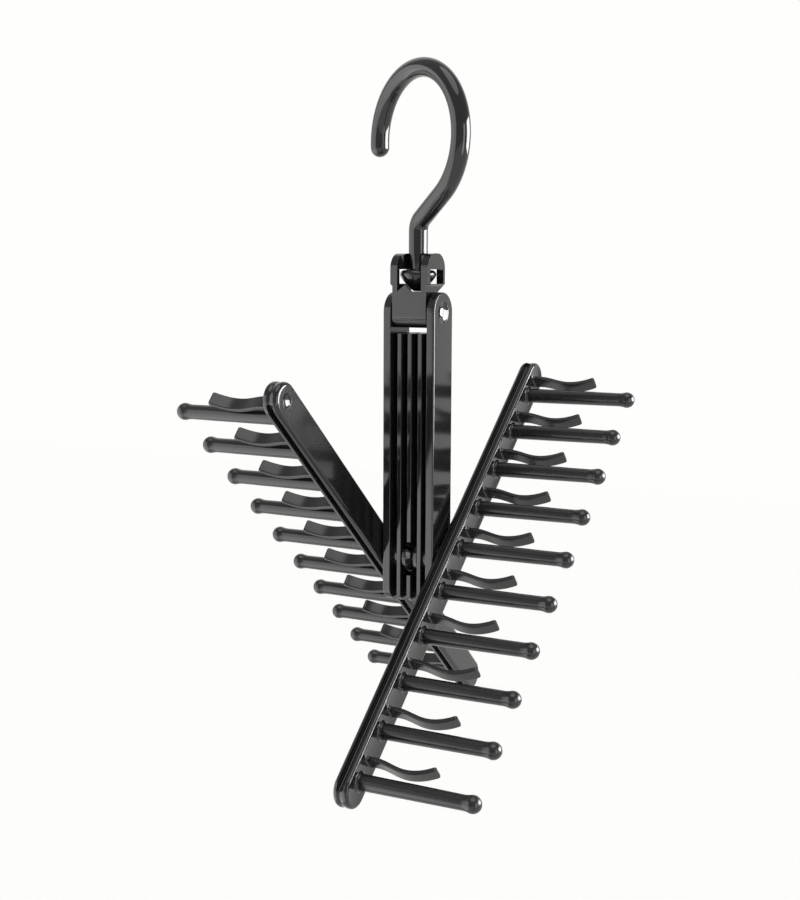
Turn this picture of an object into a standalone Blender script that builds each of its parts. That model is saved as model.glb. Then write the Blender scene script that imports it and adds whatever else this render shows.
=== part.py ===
"""Rotating tie rack: hook, tilting connector, ribbed column and two folding peg arms.

Units are metres, +Z is up.  The origin is where the underside of the hook's
loop rests on the rail.  X runs along the arms' common pivot, Y runs back.
Lengths along the upright chain are given below the hook's shaft or between
named axes, so the whole part follows when one of them is changed.
"""
import math

import bmesh
import bpy
from mathutils import Vector

# Hook: a round rod bent to an open loop, with a turning foot.
HOOK_ROD_RADIUS = 0.00414
HOOK_LOOP_RADIUS = 0.02946
HOOK_LOOP_TIP_ANGLE = math.radians(192.0)
HOOK_SLANT_ANGLE = math.radians(54.93)
HOOK_BEND_RADIUS = 0.0067
HOOK_SHAFT_LENGTH = 0.0092
HOOK_PLANE_ANGLE = math.radians(-25.87)
HOOK_NECK_RADIUS = 0.0034
HOOK_NECK_LENGTH = 0.0074
HOOK_FOOT_RADIUS = 0.0079
HOOK_FOOT_TIP_RADIUS = 0.0022
HOOK_FOOT_SHOULDER = 0.0020
HOOK_FOOT_DEPTH = 0.0089
HOOK_FOOT_TAPER_POWER = 1.4
HOOK_SIDES = 18
HOOK_LOOP_STEPS = 32
HOOK_BEND_STEPS = 6
HOOK_TIP_STEPS = 4
HOOK_SHOULDER_STEPS = 3
HOOK_FOOT_STEPS = 5

# Connector: a pinned block below, a hollow head above.
HEAD_CLEARANCE = 0.0003
HEAD_HALF_WIDTH = 0.0092
HEAD_FRONT_DEPTH = 0.0083
HEAD_BACK_DEPTH = 0.0075
HEAD_TOP_ROUND = 0.0065
ROOF_THICKNESS = 0.0068
ROOF_SET_BACK = 0.0031
ROOF_SLOT_CLEARANCE = 0.0003
CHEEK_INNER_HALF_WIDTH = 0.0058
CAVITY_HEIGHT = 0.0095
WINDOW_HEIGHT = 0.0062
WINDOW_HALF_DEPTH = 0.0061
LIP_THICKNESS = 0.0011
LIP_HEIGHT = 0.0029
LIP_PEAK_X = -0.0019
LIP_RIGHT_X = 0.0010
BLOCK_HALF_WIDTH = 0.0082
BLOCK_TOP_ABOVE_PIN = 0.0111
BLOCK_BOTTOM_BELOW_PIN = 0.0067
BLOCK_CORNER_ROUND = 0.0050
BLOCK_WAIST_BACK = 0.0028
BLOCK_WAIST_ABOVE_PIN = 0.0087
BLOCK_KNUCKLE_RADIUS = 0.0080
BLOCK_KNUCKLE_LOW_DEGREES = -50
BLOCK_KNUCKLE_HIGH_DEGREES = 56
PIN_BELOW_ROOF = 0.0252

# Hinge pin: a steel pin through the column's dished ears.
PIN_RADIUS = 0.00205
PIN_HOLE_CLEARANCE = 0.0003
PIN_END_INSET = 0.0005
PIN_END_CHAMFER = 0.0003
EAR_DISH_RADIUS = 0.0048
EAR_DISH_DEPTH = 0.0012

# Column: two outer walls, three ribs and a thin back.
COLUMN_WIDTH = 0.0250
COLUMN_DEPTH = 0.0173
COLUMN_WALL = 0.0037
COLUMN_BACK_WALL = 0.0020
COLUMN_BOTTOM_ROUND = 0.0060
COLUMN_EDGE_ROUND = 0.0006
RIB_THICKNESS = 0.0020
RIB_SPACING = 0.0050
RIB_SET_BACK = 0.00115
RIB_TOP_BELOW_PIN = 0.0090
PIVOT_BELOW_PIN = 0.1077
COLUMN_BOTTOM_BELOW_PIVOT = 0.0195

# Pivot studs: split barbed snap studs that carry the arms.
STUD_RADIUS = 0.0062
STUD_HOLE_CLEARANCE = 0.0003
STUD_BORE_RADIUS = 0.0042
STUD_BARB_HEIGHT = 0.0009
STUD_BARB_LENGTH = 0.0018
STUD_BARB_PLAY = 0.0003
STUD_SPLIT_WIDTH = 0.0018
STUD_SPLIT_LENGTH = 0.0075
STUD_TIP_GAP = 0.0003
STUD_SEAT_DEPTH = 0.0010
STUD_SEAT_CLEARANCE = 0.0003
BARB_NOTCH_BELOW = 0.0074
BARB_NOTCH_ABOVE = 0.0075

# Arms: flat round-ended bars with a straight groove along each long edge.
ARM_THICKNESS = 0.0070
ARM_WIDTH = 0.0148
ARM_TOP_LENGTH = 0.1193
ARM_BOTTOM_LENGTH = 0.1223
ARM_WALL_GAP = 0.0005
ARM_PLATE = 0.0020
ARM_GROOVE_DEPTH = 0.0030
ARM_GROOVE_END = 0.0030
ARM_INNER_ROUND = 0.0018
ARM_OUTER_ROUND = 0.0007
ARM_END_STEPS = 14
ARM_INNER_STEPS = 4
ARM_OUTER_STEPS = 2
ARM_REST_ANGLE = math.radians(48.19)
DIMPLE_RADIUS = 0.0032
DIMPLE_DEPTH = 0.0009

# Pegs: round rods with a ball end, set in sockets in the outer plate.
PEG_COUNT = 10
PEG_TOP_MARGIN = 0.0188
PEG_BOTTOM_MARGIN = 0.0113
PEG_LENGTH = 0.0490
PEG_ROOT_RADIUS = 0.00335
PEG_TIP_RADIUS = 0.00305
PEG_BALL_RADIUS = 0.0036
PEG_FILLET_RADIUS = 0.0006
PEG_SPIGOT_RADIUS = 0.0020
PEG_SPIGOT_LENGTH = 0.0015
PEG_ROOT_GAP = 0.0003
PEG_SOCKET_CLEARANCE = 0.0003
PEG_SIDES = 12
PEG_BALL_STEPS = 5

# Tongues: bowed leaves that spring down on a tie laid over the peg.
TONGUE_WIDTH = 0.0058
TONGUE_THICKNESS = 0.0019
TONGUE_ROOT_THICKNESS = 0.0028
TONGUE_ROOT_HEIGHT = 0.0093
TONGUE_DIP_HEIGHT = 0.0066
TONGUE_TIP_HEIGHT = 0.0104
TONGUE_LENGTH = 0.0305
TONGUE_DIP_REACH = 0.0185
TONGUE_SHOULDER_REACH = 0.0030
TONGUE_EDGE_ROUND = 0.0004
TONGUE_ROOT_GAP = 0.0003
TONGUE_SHOULDER_STEPS = 7
TONGUE_TIP_STEPS = 4

# Facets of the round shapes, and what the cutters run past the solids.
CORNER_STEPS = 5
KNUCKLE_STEPS = 8
EAR_STEPS = 20
SLOT_STEPS = 10
PIN_SIDES = 24
STUD_SIDES = 32
DISH_SIDES = 16
DISH_STEPS = 3
SMOOTH_ANGLE = math.radians(35.0)
CUT_MARGIN = 0.0010
PLASTIC_COLOUR = (0.012, 0.012, 0.013, 1.0)
PLASTIC_ROUGHNESS_SHARE = 0.18
STEEL_COLOUR = (0.62, 0.62, 0.61, 1.0)

# Places that follow from the sizes above, all along Z from the rail contact.
LOOP_CENTRE_Z = -(HOOK_LOOP_RADIUS - HOOK_ROD_RADIUS)
SLANT_LENGTH = (
    HOOK_LOOP_RADIUS * math.cos(HOOK_SLANT_ANGLE)
    - HOOK_BEND_RADIUS * (1 - math.cos(HOOK_SLANT_ANGLE))
) / math.sin(HOOK_SLANT_ANGLE)
SHAFT_TOP_Z = (
    LOOP_CENTRE_Z
    - (HOOK_LOOP_RADIUS + HOOK_BEND_RADIUS) * math.sin(HOOK_SLANT_ANGLE)
    - SLANT_LENGTH * math.cos(HOOK_SLANT_ANGLE)
)
SHOULDER_Z = SHAFT_TOP_Z - HOOK_SHAFT_LENGTH
ROOF_TOP_Z = SHOULDER_Z - HEAD_CLEARANCE
ROOF_UNDER_Z = ROOF_TOP_Z - ROOF_THICKNESS
FOOT_TOP_Z = SHOULDER_Z - HOOK_NECK_LENGTH
FLOOR_Z = ROOF_UNDER_Z - CAVITY_HEIGHT
PIN_Z = ROOF_TOP_Z - PIN_BELOW_ROOF
PIVOT_Z = PIN_Z - PIVOT_BELOW_PIN
COLUMN_BOTTOM_Z = PIVOT_Z - COLUMN_BOTTOM_BELOW_PIVOT
RIB_TOP_Z = PIN_Z - RIB_TOP_BELOW_PIN
COLUMN_HALF_WIDTH = COLUMN_WIDTH / 2
COLUMN_HALF_DEPTH = COLUMN_DEPTH / 2
WALL_INNER_X = COLUMN_HALF_WIDTH - COLUMN_WALL
ARM_INNER_X = COLUMN_HALF_WIDTH + ARM_WALL_GAP
ARM_OUTER_X = ARM_INNER_X + ARM_THICKNESS
ARM_HALF_WIDTH = ARM_WIDTH / 2
PEG_FIRST_HEIGHT = ARM_TOP_LENGTH - PEG_TOP_MARGIN
PEG_PITCH = (PEG_FIRST_HEIGHT + ARM_BOTTOM_LENGTH - PEG_BOTTOM_MARGIN) / (PEG_COUNT - 1)


def clear_scene() -> None:
    """Remove every object of the opened file."""
    for item in list(bpy.data.objects):
        bpy.data.objects.remove(item, do_unlink=True)


def plastic(name: str) -> bpy.types.Material:
    """Return a Principled material of its own for one object."""
    material = bpy.data.materials.new(name)
    material.use_nodes = True
    shader = material.node_tree.nodes["Principled BSDF"]
    shader.inputs["Base Color"].default_value = PLASTIC_COLOUR
    shader.inputs["Roughness"].default_value = PLASTIC_ROUGHNESS_SHARE
    return material


def add_object(name: str, points: list, faces: list, is_cutter: bool = False) -> bpy.types.Object:
    """Make an object from points and faces, with its faces turned outwards."""
    mesh = bpy.data.meshes.new(name)
    mesh.from_pydata([tuple(point) for point in points], [], faces)
    shell = bmesh.new()
    shell.from_mesh(mesh)
    bmesh.ops.recalc_face_normals(shell, faces=shell.faces)
    shell.to_mesh(mesh)
    shell.free()
    item = bpy.data.objects.new(name, mesh)
    bpy.context.scene.collection.objects.link(item)
    if is_cutter:
        item.hide_render = True
        item.display_type = "WIRE"
    else:
        mesh.materials.append(plastic(name))
    return item


def loft(name: str, rings: list, is_cutter: bool = False) -> bpy.types.Object:
    """Join rings of equal point counts to one closed body.

    A first or last ring of a single point closes the body in that point.
    """
    points = []
    starts = []
    for ring in rings:
        starts.append(len(points))
        points.extend(ring)
    faces = []
    for index in range(len(rings) - 1):
        first, second = rings[index], rings[index + 1]
        count = max(len(first), len(second))
        for step in range(count):
            following = (step + 1) % count
            low = starts[index]
            high = starts[index + 1]
            if len(first) == 1:
                faces.append((low, high + following, high + step))
            elif len(second) == 1:
                faces.append((low + step, low + following, high))
            else:
                faces.append((low + step, low + following, high + following, high + step))
    for index, backwards in ((0, True), (len(rings) - 1, False)):
        count = len(rings[index])
        if count > 1:
            cap = [starts[index] + step for step in range(count)]
            faces.append(tuple(reversed(cap)) if backwards else tuple(cap))
    return add_object(name, points, faces, is_cutter)


def circle(radius: float, sides: int) -> list:
    """Return (a, b) pairs of a regular polygon on a circle."""
    turns = [2 * math.pi * (step + 0.5) / sides for step in range(sides)]
    return [(radius * math.cos(turn), radius * math.sin(turn)) for turn in turns]


def turned(name: str, stations: list, sides: int, axis: str, is_cutter: bool = False):
    """Turn (place, radius) stations about the X or Z axis."""
    rings = []
    for place, radius in stations:
        pairs = circle(radius, sides) if radius > 0 else [(0, 0)]
        if axis == "X":
            rings.append([(place, a, b) for a, b in pairs])
        else:
            rings.append([(a, b, place) for a, b in pairs])
    return loft(name, rings, is_cutter)


def dish(face: float, radius: float, depth: float) -> list:
    """Return (place, radius) stations of a round dish sunk back from a face."""
    shares = [1 - step / DISH_STEPS for step in range(DISH_STEPS + 1)]
    return [(face - depth * (1 - share ** 2), radius * share) for share in shares]


def prism(name: str, outline: list, low: float, high: float, axis: str, is_cutter: bool = False):
    """Extrude a closed outline along X (outline in Y, Z) or along Y (outline in X, Z)."""
    if axis == "X":
        rings = [[(place, a, b) for a, b in outline] for place in (low, high)]
    else:
        rings = [[(a, place, b) for a, b in outline] for place in (low, high)]
    return loft(name, rings, is_cutter)


def box(name: str, low: tuple, high: tuple) -> bpy.types.Object:
    """Return a box-shaped cutter between two corners."""
    outline = [(low[1], low[2]), (high[1], low[2]), (high[1], high[2]), (low[1], high[2])]
    return prism(name, outline, low[0], high[0], "X", is_cutter=True)


def arc(centre: tuple, radius: float, start: float, end: float, steps: int) -> list:
    """Return points on an arc, both ends included; the angles are in degrees."""
    turns = [math.radians(start + (end - start) * step / steps) for step in range(steps + 1)]
    return [(centre[0] + radius * math.cos(t), centre[1] + radius * math.sin(t)) for t in turns]


def combine(target: bpy.types.Object, tool: bpy.types.Object, operation: str) -> None:
    """Add an exact Boolean step to the target."""
    tool.parent = target.parent
    tool.location = target.location
    tool.hide_render = True
    tool.display_type = "WIRE"
    step = target.modifiers.new(tool.name, "BOOLEAN")
    step.operation = operation
    step.solver = "EXACT"
    step.object = tool


def round_edges(target: bpy.types.Object, width: float, segments: int = 2) -> None:
    """Bevel the edges that are sharper than the smoothing angle."""
    step = target.modifiers.new("edges", "BEVEL")
    step.width = width
    step.segments = segments
    step.limit_method = "ANGLE"
    step.angle_limit = SMOOTH_ANGLE
    step.use_clamp_overlap = True


def shade(target: bpy.types.Object) -> None:
    """Shade smooth, with the sharp edges kept sharp."""
    for face in target.data.polygons:
        face.use_smooth = True
    target.data.set_sharp_from_angle(angle=SMOOTH_ANGLE)


def empty(name: str, place: tuple, parent=None, turn: float = 0.0) -> bpy.types.Object:
    """Return an empty on a joint's axis, turned about X."""
    item = bpy.data.objects.new(name, None)
    bpy.context.scene.collection.objects.link(item)
    item.location = place
    item.rotation_euler = (turn, 0.0, 0.0)
    item.parent = parent
    return item


def hook_stations() -> list:
    """Return (centre, direction, radius) along the rod, from the tip to the foot."""
    across = Vector((math.cos(HOOK_PLANE_ANGLE), math.sin(HOOK_PLANE_ANGLE), 0.0))
    up = Vector((0.0, 0.0, 1.0))
    centre = up * LOOP_CENTRE_Z
    stations = []

    def loop_point(angle: float, radius: float) -> None:
        outward = across * math.cos(angle) + up * math.sin(angle)
        ahead = across * math.sin(angle) - up * math.cos(angle)
        stations.append((centre + outward * HOOK_LOOP_RADIUS, ahead, radius))

    tip_turn = HOOK_ROD_RADIUS / HOOK_LOOP_RADIUS
    for step in range(HOOK_TIP_STEPS):
        share = math.radians(90.0 * step / HOOK_TIP_STEPS)
        angle = HOOK_LOOP_TIP_ANGLE - tip_turn * (1 - math.cos(share))
        loop_point(angle, HOOK_ROD_RADIUS * math.sin(share))
    start = HOOK_LOOP_TIP_ANGLE - tip_turn
    end = -HOOK_SLANT_ANGLE
    for step in range(HOOK_LOOP_STEPS + 1):
        loop_point(start + (end - start) * step / HOOK_LOOP_STEPS, HOOK_ROD_RADIUS)

    bend_centre = across * HOOK_BEND_RADIUS + up * SHAFT_TOP_Z
    for step in range(HOOK_BEND_STEPS + 1):
        angle = HOOK_SLANT_ANGLE * (1 - step / HOOK_BEND_STEPS)
        outward = -across * math.cos(angle) + up * math.sin(angle)
        ahead = -across * math.sin(angle) - up * math.cos(angle)
        stations.append((bend_centre + outward * HOOK_BEND_RADIUS, ahead, HOOK_ROD_RADIUS))

    def shaft_point(height: float, radius: float) -> None:
        stations.append((up * height, -up, radius))

    shaft_point(SHOULDER_Z, HOOK_ROD_RADIUS)
    shaft_point(FOOT_TOP_Z, HOOK_NECK_RADIUS)
    for step in range(HOOK_SHOULDER_STEPS):
        turn = math.pi / 2 * step / HOOK_SHOULDER_STEPS
        height = FOOT_TOP_Z - HOOK_FOOT_SHOULDER * (1 - math.cos(turn))
        shaft_point(height, HOOK_FOOT_RADIUS - HOOK_FOOT_SHOULDER * (1 - math.sin(turn)))
    taper = HOOK_FOOT_DEPTH - HOOK_FOOT_SHOULDER
    for step in range(HOOK_FOOT_STEPS + 1):
        share = step / HOOK_FOOT_STEPS
        narrow = (HOOK_FOOT_RADIUS - HOOK_FOOT_TIP_RADIUS) * share ** HOOK_FOOT_TAPER_POWER
        shaft_point(FOOT_TOP_Z - HOOK_FOOT_SHOULDER - taper * share, HOOK_FOOT_RADIUS - narrow)
    shaft_point(FOOT_TOP_Z - HOOK_FOOT_DEPTH, 0.0)
    return stations


def build_hook() -> bpy.types.Object:
    """Sweep the rod, its neck and its foot as one body."""
    normal = Vector((-math.sin(HOOK_PLANE_ANGLE), math.cos(HOOK_PLANE_ANGLE), 0.0))
    rings = []
    for centre, ahead, radius in hook_stations():
        if radius <= 0:
            rings.append([centre])
            continue
        side = ahead.cross(normal)
        pairs = circle(radius, HOOK_SIDES)
        rings.append([centre + normal * a + side * b for a, b in pairs])
    return loft("hook", rings)


def connector_outline() -> list:
    """Return the connector's side outline in Y and Z, from the pin's height."""
    roof_top = ROOF_TOP_Z - PIN_Z
    front, back = -HEAD_FRONT_DEPTH, HEAD_BACK_DEPTH
    bottom = -BLOCK_BOTTOM_BELOW_PIN
    corner = BLOCK_CORNER_ROUND
    outline = arc((front + HEAD_TOP_ROUND, roof_top - HEAD_TOP_ROUND), HEAD_TOP_ROUND, 90, 180, CORNER_STEPS)
    outline += arc((front + corner, bottom + corner), corner, 180, 270, CORNER_STEPS)
    low, high = BLOCK_KNUCKLE_LOW_DEGREES, BLOCK_KNUCKLE_HIGH_DEGREES
    outline += arc((0, 0), BLOCK_KNUCKLE_RADIUS, low, high, KNUCKLE_STEPS)
    outline.append((BLOCK_WAIST_BACK, BLOCK_WAIST_ABOVE_PIN))
    outline.append((back, BLOCK_TOP_ABOVE_PIN))
    outline += arc((back - HEAD_TOP_ROUND, roof_top - HEAD_TOP_ROUND), HEAD_TOP_ROUND, 0, 90, CORNER_STEPS)
    return outline


def build_connector(frame: bpy.types.Object) -> bpy.types.Object:
    """Shape the block and the hollow head round the hook's foot."""
    roof_top = ROOF_TOP_Z - PIN_Z
    roof_under = ROOF_UNDER_Z - PIN_Z
    floor = FLOOR_Z - PIN_Z
    wide = HEAD_HALF_WIDTH
    deep = HEAD_FRONT_DEPTH + CUT_MARGIN
    body = prism("connector", connector_outline(), -wide, wide, "X")
    body.parent = frame

    step_in = HEAD_HALF_WIDTH - BLOCK_HALF_WIDTH
    low = -BLOCK_BOTTOM_BELOW_PIN - CUT_MARGIN
    for side, label in ((-1, "left"), (1, "right")):
        outline = [
            (side * BLOCK_HALF_WIDTH, low),
            (side * (wide + CUT_MARGIN), low),
            (side * (wide + CUT_MARGIN), BLOCK_TOP_ABOVE_PIN + step_in + CUT_MARGIN),
            (side * BLOCK_HALF_WIDTH, BLOCK_TOP_ABOVE_PIN),
        ]
        combine(body, prism(f"cut_flank_{label}", outline, -deep, deep, "Y", True), "DIFFERENCE")

    inner = CHEEK_INNER_HALF_WIDTH
    cavity = box("cut_cavity", (-inner, -HEAD_FRONT_DEPTH + LIP_THICKNESS, floor), (inner, deep, roof_under))
    combine(body, cavity, "DIFFERENCE")
    mouth_outline = [
        (-inner, floor),
        (LIP_PEAK_X, floor + LIP_HEIGHT),
        (LIP_RIGHT_X, floor),
        (inner, floor),
        (inner, roof_under),
        (-inner, roof_under),
    ]
    mouth_end = -HEAD_FRONT_DEPTH + LIP_THICKNESS + LIP_THICKNESS / 2
    combine(body, prism("cut_mouth", mouth_outline, -deep, mouth_end, "Y", True), "DIFFERENCE")
    reach = WINDOW_HALF_DEPTH
    window = box("cut_windows", (-wide - CUT_MARGIN, -reach, roof_under - WINDOW_HEIGHT),
                 (wide + CUT_MARGIN, reach, roof_under))
    combine(body, window, "DIFFERENCE")

    high = roof_top + CUT_MARGIN
    roof_front = -HEAD_FRONT_DEPTH + ROOF_SET_BACK
    notch = box("cut_roof_front", (-inner, -deep, roof_under), (inner, roof_front, high))
    combine(body, notch, "DIFFERENCE")
    slot = HOOK_ROD_RADIUS + ROOF_SLOT_CLEARANCE
    ring = arc((0, 0), slot, 0, 180, SLOT_STEPS)
    slot_outline = [(-slot, -deep), (slot, -deep)] + ring
    rings = [[(a, b, place) for a, b in slot_outline] for place in (roof_under - CUT_MARGIN / 2, high)]
    combine(body, loft("cut_roof_slot", rings, True), "DIFFERENCE")

    bore = PIN_RADIUS + PIN_HOLE_CLEARANCE
    half = wide + CUT_MARGIN
    combine(body, turned("cut_pin_bore", [(-half, bore), (half, bore)], PIN_SIDES, "X", True), "DIFFERENCE")
    return body


def build_pin(frame: bpy.types.Object) -> bpy.types.Object:
    """Turn the steel hinge pin, with a chamfer at both ends."""
    end = COLUMN_HALF_WIDTH - PIN_END_INSET
    stations = [
        (-end, 0.0),
        (-end, PIN_RADIUS - PIN_END_CHAMFER),
        (-end + PIN_END_CHAMFER, PIN_RADIUS),
        (end - PIN_END_CHAMFER, PIN_RADIUS),
        (end, PIN_RADIUS - PIN_END_CHAMFER),
        (end, 0.0),
    ]
    pin = turned("hinge_pin", stations, PIN_SIDES, "X")
    shader = pin.data.materials[0].node_tree.nodes["Principled BSDF"]
    shader.inputs["Base Color"].default_value = STEEL_COLOUR
    shader.inputs["Metallic"].default_value = 1.0
    pin.parent = frame
    return pin


def column_outline() -> list:
    """Return the column's side outline in Y and Z, from the pin's height."""
    deep = COLUMN_HALF_DEPTH
    bottom = COLUMN_BOTTOM_Z - PIN_Z
    corner = COLUMN_BOTTOM_ROUND
    outline = arc((0, 0), deep, 0, 180, EAR_STEPS)
    outline += arc((-deep + corner, bottom + corner), corner, 180, 270, CORNER_STEPS)
    outline += arc((deep - corner, bottom + corner), corner, 270, 360, CORNER_STEPS)
    return outline


def build_column(frame: bpy.types.Object) -> bpy.types.Object:
    """Shape the walls, the ribs and the back from one block."""
    half = COLUMN_HALF_WIDTH
    deep = COLUMN_HALF_DEPTH
    body = prism("column", column_outline(), -half, half, "X")
    body.parent = frame
    round_edges(body, COLUMN_EDGE_ROUND)

    top = COLUMN_HALF_DEPTH + CUT_MARGIN
    rib_top = RIB_TOP_Z - PIN_Z
    bottom = COLUMN_BOTTOM_Z - PIN_Z - CUT_MARGIN
    inner = WALL_INNER_X
    front = -deep - CUT_MARGIN
    back = deep - COLUMN_BACK_WALL
    fork = box("cut_fork", (-inner, front, rib_top), (inner, -front, top))
    combine(body, fork, "DIFFERENCE")
    rib_front = -deep + RIB_SET_BACK
    comb = [(-inner, back), (-inner, front), (inner, front), (inner, back)]
    for place in (RIB_SPACING, 0, -RIB_SPACING):
        low, high = place - RIB_THICKNESS / 2, place + RIB_THICKNESS / 2
        comb += [(high, back), (high, rib_front), (low, rib_front), (low, back)]
    rings = [[(a, b, place) for a, b in comb] for place in (bottom, rib_top + CUT_MARGIN)]
    combine(body, loft("cut_channels", rings, True), "DIFFERENCE")

    pivot = PIVOT_Z - PIN_Z
    hole = STUD_RADIUS + STUD_HOLE_CLEARANCE
    rib_inner = RIB_SPACING - RIB_THICKNESS
    for side, label in ((-1, "left"), (1, "right")):
        places = [(side * (rib_inner - CUT_MARGIN), hole), (side * (half + CUT_MARGIN), hole)]
        cutter = turned(f"cut_stud_{label}", places, STUD_SIDES, "X", True)
        combine(body, cutter, "DIFFERENCE")
        cutter.location = (0.0, 0.0, pivot)
    notch = box("cut_barb_notch", (-rib_inner, front, pivot - BARB_NOTCH_BELOW),
                (rib_inner, back + STUD_HOLE_CLEARANCE, pivot + BARB_NOTCH_ABOVE))
    combine(body, notch, "DIFFERENCE")
    barb_room = RIB_SPACING - RIB_THICKNESS / 2 - STUD_BARB_PLAY / 2
    room = STUD_RADIUS + STUD_BARB_HEIGHT + STUD_HOLE_CLEARANCE
    well_cutter = turned("cut_barb_room", [(-barb_room, room), (barb_room, room)], STUD_SIDES, "X", True)
    combine(body, well_cutter, "DIFFERENCE")
    well_cutter.location = (0.0, 0.0, pivot)

    for side, label in ((-1, "left"), (1, "right")):
        places = [(half + CUT_MARGIN, EAR_DISH_RADIUS)] + dish(half, EAR_DISH_RADIUS, EAR_DISH_DEPTH)
        cutter = turned(f"cut_dish_{label}", [(side * a, b) for a, b in places], PIN_SIDES, "X", True)
        combine(body, cutter, "DIFFERENCE")
    bore = PIN_RADIUS + PIN_HOLE_CLEARANCE
    places = [(-half - CUT_MARGIN, bore), (half + CUT_MARGIN, bore)]
    combine(body, turned("cut_pin_hole", places, PIN_SIDES, "X", True), "DIFFERENCE")
    return body


def stadium(inset: float, place: float) -> list:
    """Return the arm's round-ended outline in Y and Z at one X place."""
    radius = ARM_HALF_WIDTH - inset
    top = ARM_TOP_LENGTH - ARM_HALF_WIDTH
    bottom = -(ARM_BOTTOM_LENGTH - ARM_HALF_WIDTH)
    outline = arc((0, top), radius, 0, 180, ARM_END_STEPS)
    outline += arc((0, bottom), radius, 180, 360, ARM_END_STEPS)
    return [(place, a, b) for a, b in outline]


def arm_rings(side: int) -> list:
    """Return the arm's outlines from its inner face to its outer face."""
    rings = []
    for step in range(ARM_INNER_STEPS + 1):
        turn = math.pi / 2 * step / ARM_INNER_STEPS
        place = ARM_INNER_X + ARM_INNER_ROUND * (1 - math.cos(turn))
        rings.append(stadium(ARM_INNER_ROUND * (1 - math.sin(turn)), side * place))
    for step in range(ARM_OUTER_STEPS + 1):
        turn = math.pi / 2 * step / ARM_OUTER_STEPS
        place = ARM_OUTER_X - ARM_OUTER_ROUND * (1 - math.sin(turn))
        rings.append(stadium(ARM_OUTER_ROUND * (1 - math.cos(turn)), side * place))
    return rings


def peg_heights() -> list:
    """Return the pegs' heights on the arm, the highest first."""
    return [PEG_FIRST_HEIGHT - PEG_PITCH * index for index in range(PEG_COUNT)]


def build_arm(side: int, label: str, frame: bpy.types.Object) -> bpy.types.Object:
    """Loft one arm and cut its grooves, peg sockets, stud seat and dimple."""
    body = loft(f"{label}_arm", arm_rings(side))
    body.parent = frame
    walls = sorted((side * (ARM_INNER_X + ARM_PLATE), side * (ARM_OUTER_X - ARM_PLATE)))
    top = ARM_TOP_LENGTH - ARM_GROOVE_END
    bottom = ARM_GROOVE_END - ARM_BOTTOM_LENGTH
    for way, edge in ((-1, "front"), (1, "back")):
        reach = sorted((way * (ARM_HALF_WIDTH - ARM_GROOVE_DEPTH), way * (ARM_HALF_WIDTH + CUT_MARGIN)))
        groove = box(f"cut_{label}_groove_{edge}", (walls[0], reach[0], bottom), (walls[1], reach[1], top))
        combine(body, groove, "DIFFERENCE")
    socket = PEG_SPIGOT_RADIUS + PEG_SOCKET_CLEARANCE
    floor = ARM_OUTER_X - PEG_SPIGOT_LENGTH - PEG_SOCKET_CLEARANCE
    for index, height in enumerate(peg_heights()):
        places = [(side * floor, socket), (side * (ARM_OUTER_X + CUT_MARGIN), socket)]
        cutter = turned(f"cut_{label}_socket_{index + 1:02d}", places, PEG_SIDES, "X", True)
        combine(body, cutter, "DIFFERENCE")
        cutter.location = (0.0, 0.0, height)
    seat = STUD_RADIUS + STUD_SEAT_CLEARANCE
    seat_floor = ARM_INNER_X + STUD_SEAT_DEPTH + STUD_SEAT_CLEARANCE
    places = [(side * (ARM_INNER_X - CUT_MARGIN), seat), (side * seat_floor, seat)]
    combine(body, turned(f"cut_{label}_seat", places, STUD_SIDES, "X", True), "DIFFERENCE")
    dimple_top = ARM_TOP_LENGTH - ARM_HALF_WIDTH
    places = [(ARM_INNER_X - CUT_MARGIN, DIMPLE_RADIUS)] + dish(ARM_INNER_X, DIMPLE_RADIUS, -DIMPLE_DEPTH)
    dimple = turned(f"cut_{label}_dimple", [(side * a, b) for a, b in places], DISH_SIDES, "X", True)
    combine(body, dimple, "DIFFERENCE")
    dimple.location = (0.0, 0.0, dimple_top)
    return body


def build_stud(side: int, label: str, frame: bpy.types.Object) -> bpy.types.Object:
    """Turn one hollow, split snap stud with a barb behind the inner rib."""
    tip = STUD_TIP_GAP / 2
    rib_inner = RIB_SPACING - RIB_THICKNESS / 2
    root = ARM_INNER_X + STUD_SEAT_DEPTH
    barb_back = rib_inner - STUD_BARB_PLAY
    stations = [
        (side * tip, STUD_BORE_RADIUS),
        (side * tip, STUD_RADIUS - STUD_BARB_HEIGHT),
        (side * (barb_back - STUD_BARB_LENGTH), STUD_RADIUS + STUD_BARB_HEIGHT),
        (side * barb_back, STUD_RADIUS + STUD_BARB_HEIGHT),
        (side * barb_back, STUD_RADIUS),
        (side * root, STUD_RADIUS),
        (side * root, 0.0),
    ]
    solid = [(side * tip, 0.0)] + stations[1:]
    body = turned(f"{label}_stud", solid, STUD_SIDES, "X")
    body.parent = frame
    bore_end = ARM_INNER_X
    places = [(0.0, STUD_BORE_RADIUS), (side * bore_end, STUD_BORE_RADIUS)]
    combine(body, turned(f"cut_{label}_stud_bore", places, PIN_SIDES, "X", True), "DIFFERENCE")
    half = STUD_SPLIT_WIDTH / 2
    reach = STUD_RADIUS + STUD_BARB_HEIGHT + CUT_MARGIN
    ends = sorted((-side * CUT_MARGIN, side * STUD_SPLIT_LENGTH))
    split = box(f"cut_{label}_split", (ends[0], -half, -reach), (ends[1], half, reach))
    combine(body, split, "DIFFERENCE")
    return body


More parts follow.
